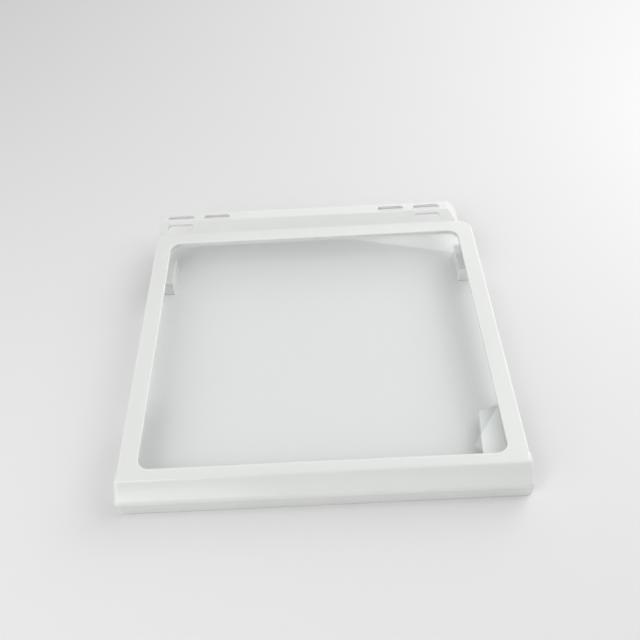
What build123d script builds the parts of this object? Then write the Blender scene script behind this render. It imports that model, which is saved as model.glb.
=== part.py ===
from build123d import *
import os

# Freezer shelf: a pane of tempered glass caught all round in the groove of one white moulded frame.
# Millimetres. X runs across the shelf, Y from the nose at the front to the rail at the back, and Z up
# from the surface that the shelf stands on. The origin is the middle of the footprint.

# Plan of the frame
window_width = 322.0  # clear opening over the glass
window_depth = 304.0
window_radius = 11.0
side_land = 17.25  # flat top of each side bar
front_land = 11.1  # flat top between the window and the nose's crease
rear_land = 17.0  # flat top between the window and the foot of the ramp
nose_reach = 16.0  # from the crease forward to the brow
nose_overhang = 2.0  # the nose stands this far proud of the side bars
nose_end_radius = 4.4  # rounding of the nose's two ends, all along its section
ramp_depth = 12.1
rail_land = 15.0  # flat top of the raised rail
rail_step = 1.75  # the rail's left end lies this far inside the bar
rail_notch = 15.5  # the rail's right end stops this far short of the bar, and the deck rounds off there
left_corner_radius = 6.0  # the deck's rear corner at the other end of the rail
rail_radius = 4.0  # rear corners of the rail

# Heights, measured down from the deck
deck_height = 32.0  # top of the frame above the standing surface
ramp_rise = 8.0  # the rail stands this far above the deck
brow_drop = 13.2
brow_undercut = 3.0  # the nose's toe lies this far behind its brow
skirt_depth = 10.0  # skirts of the side bars and the rear border
rail_depth = 6.0  # edge of the ramp and the rail, which lie open below

# Wall section
wall = 2.4
rib = 1.6
crease_radius = 5.0
nose_crown = 0.8  # bulge of the sloping face
brow_radius = 4.6
ramp_radius = 3.0  # soft edges at the foot and the top of the ramp
edge_radius = 1.2  # outer top edges of the side bars
lip_radius = 0.9  # edge of the window

# Glass and its groove
glass_thickness = 3.2
glass_bite = 8.0  # width of glass hidden in the groove
glass_clearance = 0.3  # round the edge of the pane
glass_arris = 0.5  # ground edges
lower_lip_setback = 1.5  # the lip under the glass is this much shorter than the one above

# Air slots through the rail and its ramp
slot_length = 30.0
slot_pitch = 41.0
slot_width = 10.0
ramp_slot_width = 9.0
slot_radius = 3.8
slot_margin = 9.7  # from the end of the rail to the first slot
slot_land = 0.3  # plastic left in front of each row

# Rear feet under the side bars
foot_length = 42.0
foot_setback = 9.5  # from the rear edge of the window forward to the foot
foot_inset = 4.5  # the foot's ledge shows this far inside the window
foot_recess = 9.5  # from the ledge's edge out to the wall above it
foot_radius = 0.8
ledge_drop = 5.5  # from the skirt's lower edge down to the ledge

# Right front corner web, and the wings that carry both skirts down beside the nose
web_width = 15.0  # from the side of the window inwards, at the rear end of the web
web_flare = 5.0  # the web is this much wider at the window's front edge
web_depth = 57.0  # from the front of the window back to the web's inner corner
web_slant = 11.5  # the rear edge lies this much further back at the side bar
web_drop = 5.5  # from the skirt's lower edge down to the web
web_flange = 8.0  # depth of the flange round the web's free edges
wing_taper = 22.0  # behind the web the wing's lower edge rises to the skirt over this length

# Stiffening ribs
nose_rib_pitch = 36.0
nose_rib_clearance = 4.0  # ribs stop this far above the toe
bar_rib_pitch = 38.0
bar_rib_clearance = 2.0  # ribs stop this far above the skirt's edge
rail_rib_pitch = 38.0
rail_rib_margin = 8.0  # from a slot to the nearest rib

# Places worked out from the sizes above
depth = nose_reach + front_land + window_depth + rear_land + ramp_depth + rail_land
brow_y = -depth / 2
crease_y = brow_y + nose_reach
window_front = crease_y + front_land
window_rear = window_front + window_depth
window_mid = (window_front + window_rear) / 2
ramp_foot = window_rear + rear_land
ramp_top = ramp_foot + ramp_depth
rail_rear = ramp_top + rail_land
window_x = window_width / 2
bar_x = window_x + side_land
nose_x = bar_x + nose_overhang
rail_left = -bar_x + rail_step
rail_foot = bar_x - rail_notch
rail_right = rail_foot - ramp_rise
rail_end = rail_foot + wall
rail_height = deck_height + ramp_rise
brow_height = deck_height - brow_drop
skirt_z = deck_height - skirt_depth
glass_top = deck_height - wall
glass_bottom = glass_top - glass_thickness
rim_bottom = glass_bottom - wall
rim_width = glass_bite + glass_clearance + wall
spare = 20.0  # cutters and open sections run this far past the material


def block(x0, x1, y0, y1, z0, z1):
    """Rectangular solid between two corners."""
    return Pos((x0 + x1) / 2, (y0 + y1) / 2, (z0 + z1) / 2) * Box(x1 - x0, y1 - y0, z1 - z0)


def across(section, x0, x1):
    """Solid of a section drawn in Y and Z, run along X."""
    return extrude(Plane.YZ.offset(x0) * section, x1 - x0, dir=(1, 0, 0))


def along(section, y0, y1):
    """Solid of a section drawn in X and Z, run along Y."""
    return extrude(Plane.XZ.offset(-y0) * section, y1 - y0, dir=(0, 1, 0))


def upright(plan, z0, z1):
    """Solid of an outline drawn in X and Y, run along Z."""
    return extrude(Plane.XY.offset(z0) * plan, z1 - z0, dir=(0, 0, 1))


def inset(face):
    """The same outline, one wall thickness further in."""
    return offset(face, amount=-wall, kind=Kind.INTERSECTION)


def soften(solid, chosen):
    """Round off the chosen ones of a solid's topmost edges."""
    top = solid.faces().sort_by(Axis.Z)[-1]
    return fillet(top.edges().filter_by(chosen), edge_radius)


def mirrored(solid):
    """A right-hand feature together with its left-hand twin."""
    return solid + mirror(solid, about=Plane.YZ)


def window_plan(grow):
    """Outline of the window, grown evenly by the given amount."""
    size = (window_width + 2 * grow, window_depth + 2 * grow)
    return Pos(0, window_mid) * RectangleRounded(*size, window_radius + grow)


def window_cutter():
    """Cutter for the window, flared where it meets the deck so that the lip comes out rounded."""
    shaft = upright(window_plan(0), -spare, deck_height)
    cutter = shaft + upright(window_plan(rim_width), deck_height, deck_height + spare)
    step = cutter.faces().filter_by(Axis.Z).sort_by(Axis.Z)[1]
    return fillet(step.inner_wires().edges(), lip_radius)


def deck_plan(step):
    """Outline of the side bars and the rear border, stepped in from the sides and the rear."""
    x = bar_x - step
    y = ramp_foot - step
    plan = Polygon((-x, window_front), (x, window_front), (x, y), (-x, y), align=None)
    plan = fillet(plan.vertices().sort_by(lambda v: v.Y - v.X)[-1], left_corner_radius - step)
    return fillet(plan.vertices().sort_by(lambda v: v.Y + v.X)[-1], rail_notch - step)


def deck_elevation():
    """The deck seen from the side: shallow skirts, carried down beside the nose as wings."""
    low = skirt_z - web_drop - web_flange
    rear = window_front + web_depth + web_slant
    wing = [(window_front, deck_height), (window_front, low), (rear, low), (rear + wing_taper, skirt_z)]
    return Polygon(*wing, (ramp_foot, skirt_z), (ramp_foot, deck_height), align=None)


def nose_section(low, back):
    """Section of the nose: deck, sloping face, brow and undercut toe, down to low and as far as back."""
    crease = (crease_y, deck_height)
    brow = (brow_y, brow_height)
    toe = (brow_y + brow_undercut * (brow_height - low) / brow_height, low)
    slope = SagittaArc(crease, brow, nose_crown)
    rest = Polyline(brow, toe, (back, low), (back, deck_height), crease)
    face = make_face([slope, *rest.edges()])
    face = fillet(face.vertices().sort_by_distance((*crease, 0))[0], crease_radius)
    return fillet(face.vertices().sort_by_distance((*brow, 0))[0], brow_radius)


def nose_body(section, end, radius):
    """Solid of a nose section between two like ends, rounded over except along the bottom and the back."""
    body = across(section, -end, end)
    rims = body.faces().filter_by(Axis.X).edges()
    return fillet(rims.sort_by(Axis.Z)[2:].sort_by(Axis.Y)[:-2], radius)


def rail_section():
    """Section of the rear border: deck, ramp and raised rail, left open below and in front."""
    front = window_rear - spare
    bends = [(ramp_foot, deck_height), (ramp_top, rail_height)]
    outline = [(front, deck_height), *bends, (rail_rear, rail_height)]
    face = Polygon(*outline, (rail_rear, -spare), (front, -spare), align=None)
    for bend in bends:
        face = fillet(face.vertices().sort_by_distance((*bend, 0))[0], ramp_radius)
    return face


def rail_elevation():
    """The rail seen from the front: square at its left end, bevelled past the deck at its right end."""
    outline = [(rail_left, rail_height), (rail_right, rail_height), (rail_end, glass_top)]
    return Polygon(*outline, (rail_end, -spare), (rail_left, -spare), align=None)


def rail_plan(step, front):
    """Outline of the rail back from the given front, stepped in from its ends and its rear."""
    left = rail_left + step
    right = rail_end - step
    rear = rail_rear - step
    plan = Polygon((left, front), (right, front), (right, rear), (left, rear), align=None)
    return fillet(plan.vertices().group_by(Axis.Y)[-1], rail_radius - step)


def foot():
    """Right rear foot: a hollow block under the side bar, with a ledge along its inner side."""
    inner = window_x - foot_inset
    recess = inner + foot_recess
    ledge = skirt_z - ledge_drop
    rear = window_rear - foot_setback
    front = rear - foot_length
    outline = [(inner, ledge), (recess, ledge), (recess, rim_bottom), (bar_x, rim_bottom)]
    outer = along(Polygon(*outline, (bar_x, 0), (inner, 0), align=None), front, rear)
    outer = fillet(outer.edges().filter_by(Axis.Z).group_by(Axis.X)[0], foot_radius)
    shifted = [(inner, ledge), (recess, ledge), (recess, rim_bottom + spare), (bar_x, rim_bottom + spare)]
    cavity = inset(Polygon(*shifted, (bar_x, -spare), (inner, -spare), align=None))
    return outer - along(cavity, front + wall, rear - wall)


def corner_web(envelope):
    """Right front corner web: a flanged plate between the nose and the wing, open below."""
    inner_rear = window_x - web_width
    inner_front = inner_rear - web_flare
    front = brow_y - spare
    rear = window_front + web_depth
    top = skirt_z - web_drop
    slope_x = inner_front - web_flare * (window_front - front) / web_depth
    outline = [(slope_x, front), (inner_rear, rear), (bar_x, rear + web_slant), (bar_x, front)]
    plan = Polygon(*outline, align=None)
    plate = upright(plan, top - web_flange, top) - upright(inset(plan), top - web_flange, top - wall)
    return plate & envelope


def spread(low, high, pitch):
    """Evenly spaced places from low to high, about one pitch apart."""
    gaps = max(1, round((high - low) / pitch))
    return [low + (high - low) * i / gaps for i in range(gaps + 1)]


def slot_places():
    """Centres of the rail's slots along X, from left to right."""
    left = rail_left + slot_margin + slot_length / 2
    right = rail_right - slot_margin - slot_length / 2
    return [left, left + slot_pitch, right - slot_pitch, right]


def air_slots():
    """Cutters for the slots: a row in the rail, and one in the ramp at each end."""
    centres = slot_places()
    rear_row = RectangleRounded(slot_length, slot_width, slot_radius)
    ramp_row = RectangleRounded(slot_length, ramp_slot_width, slot_radius)
    rear_y = ramp_top + slot_land + slot_width / 2
    ramp_y = ramp_foot + slot_land + ramp_slot_width / 2
    plans = [Pos(x, rear_y) * rear_row for x in centres]
    plans += [Pos(x, ramp_y) * ramp_row for x in (centres[0], centres[-1])]
    return [upright(plan, skirt_z, rail_height + spare) for plan in plans]


def ribs(nose_space, bar_space, rail_space):
    """Thin cross walls in the hollow nose, borders and rail."""
    slope = Polygon(
        (brow_y, nose_rib_clearance),
        (window_front, rim_bottom),
        (window_front, deck_height),
        (brow_y, deck_height),
        align=None,
    )
    nose_places = spread(-nose_x + nose_rib_pitch / 2, nose_x - nose_rib_pitch / 2, nose_rib_pitch)
    nose_slices = [across(slope, x - rib / 2, x + rib / 2) for x in nose_places]
    low = skirt_z + bar_rib_clearance
    bar_places = spread(window_front + bar_rib_pitch / 2, window_rear, bar_rib_pitch)
    bar_slices = [block(-bar_x, bar_x, y - rib / 2, y + rib / 2, low, deck_height) for y in bar_places]
    slots = slot_places()
    clear = slot_length / 2 + rail_rib_margin
    rail_places = spread(slots[1] + clear, slots[2] - clear, rail_rib_pitch)
    rail_places += [(slots[0] + slots[1]) / 2, (slots[2] + slots[3]) / 2]
    rear_slab = block(-rib / 2, rib / 2, window_rear, rail_rear, low, rail_height)
    rail_slices = [Pos(x, 0, 0) * rear_slab for x in rail_places]
    return [
        *[piece & nose_space for piece in nose_slices],
        *[piece & bar_space for piece in bar_slices + rail_slices],
        *[piece & rail_space for piece in rail_slices],
    ]


def moulded_frame():
    """The whole moulding."""
    nose = nose_body(nose_section(0, window_front), nose_x, nose_end_radius)
    nose_inside = inset(nose_section(-spare, window_front + wall))
    nose_space = nose_body(nose_inside, nose_x - wall, nose_end_radius - wall)
    deck = upright(deck_plan(0), 0, deck_height) & across(deck_elevation(), -bar_x, bar_x)
    deck = soften(deck, lambda e: window_front < e.center().Y < ramp_foot)
    bar_space = upright(deck_plan(wall), 0, glass_top)
    rail = across(rail_section(), rail_left, rail_end) & upright(rail_plan(0, window_rear), 0, rail_height)
    rail &= along(rail_elevation(), window_rear, rail_rear)
    below_rail = Pos(0, 0, -rail_depth) * rail
    rail = soften(rail, lambda e: e.center().Y > ramp_top + ramp_radius) - below_rail
    rail_space = across(inset(rail_section()), rail_left, rail_end)
    rail_space &= upright(rail_plan(wall, ramp_foot), 0, rail_height)
    rail_space &= along(inset(rail_elevation()), ramp_foot, rail_rear)

    envelope = nose + deck + rail
    frame = envelope - nose_space - bar_space - rail_space
    frame += upright(window_plan(rim_width), rim_bottom, deck_height) & envelope
    for piece in ribs(nose_space, bar_space, rail_space & rail):
        frame += piece
    frame -= window_cutter()
    frame -= upright(window_plan(lower_lip_setback), -spare, glass_bottom)
    frame -= upright(window_plan(glass_bite + glass_clearance), glass_bottom, glass_top)
    for cutter in air_slots():
        frame -= cutter
    frame += mirrored(foot())
    below = block(0, bar_x - wall / 2, window_front, window_rear, 0, rim_bottom)
    return frame + corner_web(nose + below)


def glass_pane():
    """The tempered sheet, with its edges ground."""
    pane = upright(window_plan(glass_bite), glass_bottom, glass_top)
    rims = pane.faces().filter_by(Axis.Z).edges()
    return chamfer(rims, glass_arris)


os.makedirs("parts", exist_ok=True)
for name, solid in {"moulded_frame": moulded_frame(), "glass_pane": glass_pane()}.items():
    solid.label = name
    export_step(solid, f"parts/{name}.step")
    print(name, len(solid.solids()), round(solid.volume), solid.bounding_box())
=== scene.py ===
import math

import bpy
from mathutils import Euler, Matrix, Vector

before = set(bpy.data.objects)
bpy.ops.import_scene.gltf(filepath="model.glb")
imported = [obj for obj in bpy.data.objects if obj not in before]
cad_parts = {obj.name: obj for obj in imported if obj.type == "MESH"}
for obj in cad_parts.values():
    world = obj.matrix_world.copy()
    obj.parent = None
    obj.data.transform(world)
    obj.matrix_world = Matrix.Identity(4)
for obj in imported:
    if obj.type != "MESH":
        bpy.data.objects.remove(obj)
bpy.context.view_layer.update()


# Glass pane
# The shelf's plate is a sheet of clear tempered float glass with rounded corners and ground edges.
# It is laid in the tool before the frame is moulded, so the frame's groove grips it all round.


class Socket:
    """A value in a material's nodes that can be written into sums and products."""

    def __init__(self, tree, output):
        self.tree = tree
        self.output = output

    @classmethod
    def of(cls, tree, kind, settings, inputs, output=0):
        """One output of a new node: its settings are set first, then the values or links of its inputs."""
        node = tree.nodes.new(kind)
        for name, value in settings.items():
            setattr(node, name, value)
        for key, value in inputs.items():
            if isinstance(value, cls):
                tree.links.new(value.output, node.inputs[key])
            else:
                node.inputs[key].default_value = value
        if node.outputs:
            return cls(tree, node.outputs[output])

    def reckon(self, operation, first, second):
        """The outcome of one sum or product of two values."""
        return Socket.of(self.tree, "ShaderNodeMath", {"operation": operation}, {0: first, 1: second})

    def __add__(self, other):
        return self.reckon("ADD", self, other)

    def __radd__(self, other):
        return self.reckon("ADD", other, self)

    def __mul__(self, other):
        return self.reckon("MULTIPLY", self, other)

    def __rmul__(self, other):
        return self.reckon("MULTIPLY", other, self)


def start_material(name):
    """A new material with no nodes in it, and its node tree."""
    material = bpy.data.materials.new(name)
    material.use_nodes = True
    material.node_tree.nodes.clear()
    return material, material.node_tree


def mottle(tree, spots_per_metre, fineness):
    """Soft random spots from 0 to 1 that stay fixed to the piece."""
    place = Socket.of(tree, "ShaderNodeTexCoord", {}, {}, "Object")
    spots = {"Vector": place, "Scale": spots_per_metre, "Detail": fineness}
    return Socket.of(tree, "ShaderNodeTexNoise", {}, spots)


def dress(node, material):
    """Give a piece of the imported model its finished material."""
    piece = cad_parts[node]
    piece.data.materials.clear()
    piece.data.materials.append(material)


glass_tint = (0.985, 0.998, 1.0, 1.0)
glass_ior = 1.52
polish = 0.006
smudge_roughness = 0.016
smudges_per_metre = 24.0
smudge_fineness = 5.0
clear_tint = (0.995, 1.0, 0.998, 1.0)

tempered_glass, tree = start_material("tempered_glass")
smudge = mottle(tree, smudges_per_metre, smudge_fineness)
glass = Socket.of(tree, "ShaderNodeBsdfPrincipled", {}, {
    "Base Color": glass_tint,
    "Roughness": polish + smudge_roughness * smudge,
    "IOR": glass_ior,
    "Transmission Weight": 1.0,
})
# Rays to the lamps and soft rays go straight through, so that the floor under the pane is lit once.
clear = Socket.of(tree, "ShaderNodeBsdfTransparent", {}, {"Color": clear_tint})
for ray in ("Is Shadow Ray", "Is Diffuse Ray"):
    passing = Socket.of(tree, "ShaderNodeLightPath", {}, {}, ray)
    glass = Socket.of(tree, "ShaderNodeMixShader", {}, {0: passing, 1: glass, 2: clear})
Socket.of(tree, "ShaderNodeOutputMaterial", {}, {"Surface": glass})
dress("glass_pane", tempered_glass)


# Moulded frame
# One injection moulding in white high-impact polystyrene: borders, nose, slotted rail, ribs and feet come out
# of a single tool. The plastic closes about the edge of the pane and holds it without screws or clips.


def between(tree, share, first, second):
    """A colour that runs from the first to the second as the share runs from 0 to 1."""
    share_input, first_input, second_input, colour_output = 0, 6, 7, 2
    colours = {share_input: share, first_input: first, second_input: second}
    return Socket.of(tree, "ShaderNodeMix", {"data_type": "RGBA"}, colours, colour_output)


dull_white = (0.763, 0.778, 0.759, 1.0)
clean_white = (0.798, 0.81, 0.792, 1.0)
clouds_per_metre = 14.0
cloud_fineness = 3.0
gloss_roughness = 0.19
cloud_roughness = 0.05
grains_per_metre = 2600.0
grain_fineness = 2.0
sink_marks_per_metre = 45.0
sink_mark_fineness = 1.0
sink_mark_height = 8.0
relief_strength = 0.05
relief_depth = 0.0002
plastic_ior = 1.59
scatter_share = 0.7
scatter_depth = 0.0025
even_scatter = (1.0, 1.0, 1.0)

white_moulding, tree = start_material("white_moulding")
cloud = mottle(tree, clouds_per_metre, cloud_fineness)
grain = mottle(tree, grains_per_metre, grain_fineness)
sink_marks = mottle(tree, sink_marks_per_metre, sink_mark_fineness)
relief = Socket.of(tree, "ShaderNodeBump", {}, {
    "Strength": relief_strength,
    "Distance": relief_depth,
    "Height": grain + sink_mark_height * sink_marks,
})
plastic = Socket.of(tree, "ShaderNodeBsdfPrincipled", {}, {
    "Base Color": between(tree, cloud, dull_white, clean_white),
    "Roughness": gloss_roughness + cloud_roughness * cloud,
    "Normal": relief,
    "IOR": plastic_ior,
    "Subsurface Weight": scatter_share,
    "Subsurface Scale": scatter_depth,
    "Subsurface Radius": even_scatter,
})
Socket.of(tree, "ShaderNodeOutputMaterial", {}, {"Surface": plastic})
dress("moulded_frame", white_moulding)


# Floor
# The shelf stands on a plain sheet of pale matt paper, which lies flat and reaches far past the picture.
# It isn't part of the object.

floor_size = 20.0
dull_paper = (0.775, 0.775, 0.775, 1.0)
clean_paper = (0.785, 0.785, 0.785, 1.0)
fibres_per_metre = 900.0
fibre_fineness = 3.0
paper_roughness = 0.9
tooth_strength = 0.1
tooth_depth = 0.0002

bpy.ops.mesh.primitive_plane_add(size=floor_size)
floor = bpy.context.object
floor.name = "floor"
pale_sheet, tree = start_material("pale_sheet")
fibre = mottle(tree, fibres_per_metre, fibre_fineness)
tooth = Socket.of(tree, "ShaderNodeBump", {}, {
    "Strength": tooth_strength,
    "Distance": tooth_depth,
    "Height": fibre,
})
paper = Socket.of(tree, "ShaderNodeBsdfPrincipled", {}, {
    "Base Color": between(tree, fibre, dull_paper, clean_paper),
    "Roughness": paper_roughness,
    "Normal": tooth,
})
Socket.of(tree, "ShaderNodeOutputMaterial", {}, {"Surface": paper})
floor.data.materials.append(pale_sheet)


# Light
# Ten soft lamps stand round the shelf, most of them at the right, behind and at the front left, and an even
# white sky fills in. The glass mirrors the rear panel at its right rear corner, and the left end of the nose
# mirrors the lamp at the front left.

lamp_height_share = 0.4
sky_colour = (1.0, 1.0, 1.0, 1.0)
sky_strength = 0.47


def lamp(name, azimuth, elevation, reach, width, power):
    """A soft lamp that faces the shelf, with angles in degrees, lengths in metres and power in watts."""
    light = bpy.data.lights.new(name, "AREA")
    light.shape = "RECTANGLE"
    light.size = width
    light.size_y = lamp_height_share * reach
    light.energy = power
    stand = bpy.data.objects.new(name, light)
    swing = Euler((0.0, -math.radians(elevation), math.radians(azimuth)), "XYZ").to_matrix()
    stand.location = swing @ Vector((reach, 0.0, 0.0))
    stand.rotation_euler = (-stand.location).to_track_quat("-Z", "Y").to_euler()
    bpy.context.scene.collection.objects.link(stand)


lamp("rear_panel", azimuth=74, elevation=26.8, reach=2.0, width=1.8, power=4.6)
lamp("right_rear_low", azimuth=45, elevation=24, reach=2.0, width=0.8, power=5.8)
lamp("right_rear", azimuth=45, elevation=46, reach=2.0, width=0.8, power=2.5)
lamp("right", azimuth=0, elevation=46, reach=2.0, width=0.8, power=5.0)
lamp("right_high", azimuth=0, elevation=67, reach=2.0, width=0.8, power=2.2)
lamp("right_near", azimuth=20, elevation=30, reach=1.0, width=0.4, power=1.2)
lamp("front_left", azimuth=243, elevation=46, reach=1.2, width=0.48, power=0.9)
lamp("left_front", azimuth=225, elevation=46, reach=2.0, width=0.8, power=5.4)
lamp("left_front_low", azimuth=225, elevation=24, reach=2.0, width=0.8, power=3.4)
lamp("left_near", azimuth=200, elevation=30, reach=1.0, width=0.4, power=0.8)

sky = bpy.data.worlds.new("sky")
sky.use_nodes = True
sky_light = sky.node_tree.nodes["Background"]
sky_light.inputs["Color"].default_value = sky_colour
sky_light.inputs["Strength"].default_value = sky_strength
bpy.context.scene.world = sky


# Camera
# A camera with a 36 mm sensor looks down on the shelf at 45 degrees and takes a square picture.
# Its lens, place and turns were fitted to the shelf's straight edges.

picture_side = 640
focal_pixels = 808.9
sensor_width = 36.0
camera_place = Vector((0.0079, -0.5676, 0.6102))
pitch = math.radians(45.0)
yaw = math.radians(0.504)
roll = math.radians(3.11)

camera_body = bpy.data.cameras.new("camera")
camera_body.sensor_width = sensor_width
camera_body.lens = sensor_width * focal_pixels / picture_side
camera = bpy.data.objects.new("camera", camera_body)
camera.location = camera_place
look = Euler((math.pi / 2 - pitch, 0.0, yaw), "XYZ").to_matrix()
tilt = Euler((0.0, 0.0, -roll), "XYZ").to_matrix()
camera.rotation_euler = (look @ tilt).to_euler()
bpy.context.scene.collection.objects.link(camera)
bpy.context.scene.camera = camera
bpy.context.scene.view_settings.view_transform = "Standard"
